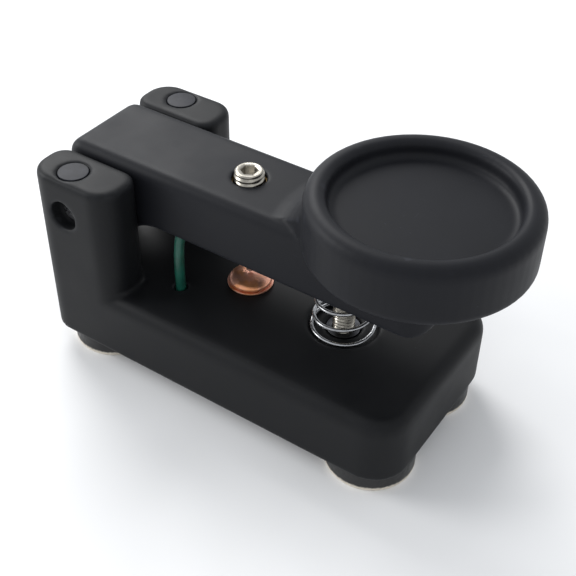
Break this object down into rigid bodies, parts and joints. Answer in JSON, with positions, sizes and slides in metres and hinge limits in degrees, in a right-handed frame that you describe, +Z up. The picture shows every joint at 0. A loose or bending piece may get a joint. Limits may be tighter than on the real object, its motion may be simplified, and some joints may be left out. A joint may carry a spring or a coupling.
{
  "type": "telegraph straight key",
  "caption": "Small black Morse straight key: moulded base with two rear ears, sprung lever with a dished round knob, adjustable contact gap and disc magnet feet.",
  "frame": {"origin": "centre of the bounding box in plan, on the surface the magnet feet rest on", "axes": "+X from the pivot to the knob, +Y to the far side, +Z up"},
  "size_m": [0.0644, 0.0284, 0.0375],
  "materials": {
    "black_plastic": "fine matte moulded plastic with a slight sheen",
    "cover_plastic": "matte moulded plastic",
    "plug_plastic": "matte moulded plastic, a little lighter than the base",
    "jack_plastic": "smooth black connector plastic",
    "steel": "bright steel",
    "dark_steel": "dark oxide steel",
    "nickel": "nickel plating",
    "magnet_coating": "black epoxy coating, worn to bright nickel round the lower edge",
    "copper": "polished copper",
    "brass": "plain brass",
    "green_insulation": "smooth cable insulation",
    "red_insulation": "smooth cable insulation"
  },
  "bodies": {
    "base": {"base_body": "black_plastic", "bottom_cover": "cover_plastic", "cover_screw_1": "dark_steel", "cover_screw_2": "dark_steel", "cover_screw_3": "dark_steel", "cover_screw_4": "dark_steel", "foot_magnet_rear_near": "magnet_coating", "foot_magnet_rear_far": "magnet_coating", "foot_magnet_front_near": "magnet_coating", "foot_magnet_front_far": "magnet_coating", "jack_body": "jack_plastic", "jack_barrel": "nickel", "jack_tip_lug": "nickel", "jack_sleeve_lug": "nickel", "lever_wire": "green_insulation", "contact_wire": "red_insulation", "fixed_contact": "copper", "contact_washer": "copper", "contact_tag": "brass", "contact_nut": "steel", "pivot_shaft": "steel", "bearing_inner_near": "steel", "bearing_inner_far": "steel", "bearing_cage_near": "brass", "bearing_cage_far": "brass", "pivot_shim_near": "brass", "pivot_shim_far": "brass", "shaft_lock_screw_near": "dark_steel", "shaft_lock_screw_far": "dark_steel", "ear_plug_near": "plug_plastic", "ear_plug_far": "plug_plastic", "return_spring": "steel", "spring_stud": "steel", "stud_insert": "dark_steel"},
    "lever": {"lever_knob": "black_plastic", "lever_insert": "brass", "bearing_outer_near": "steel", "bearing_outer_far": "steel"},
    "adjuster_travel": {"adjuster_tip": "steel"},
    "adjuster_turn": {"gap_adjuster": "steel"}
  },
  "joints": [
    {"name": "lever_press", "type": "hinge", "parent": "base", "child": "lever", "pos_m": [-0.02645, 0, 0.0241], "axis": [0, 1, 0], "range_deg": [0, 1.1], "stiffness_Nm_per_rad": 0.6, "springref_deg": -3.44, "deforming": ["return_spring"]},
    {"name": "gap_travel", "type": "slide", "parent": "lever", "child": "adjuster_travel", "axis": [0, 0, 1], "range_m": [0, 0.0014]},
    {"name": "gap_turn", "type": "hinge", "parent": "adjuster_travel", "child": "adjuster_turn", "pos_m": [-0.00645, 0, 0.0231], "axis": [0, 0, 1], "range_deg": [0, 720]}
  ],
  "couplings": [
    {"joint": "gap_turn", "follows": "gap_travel", "rad_per_m": 8976}
  ]
}
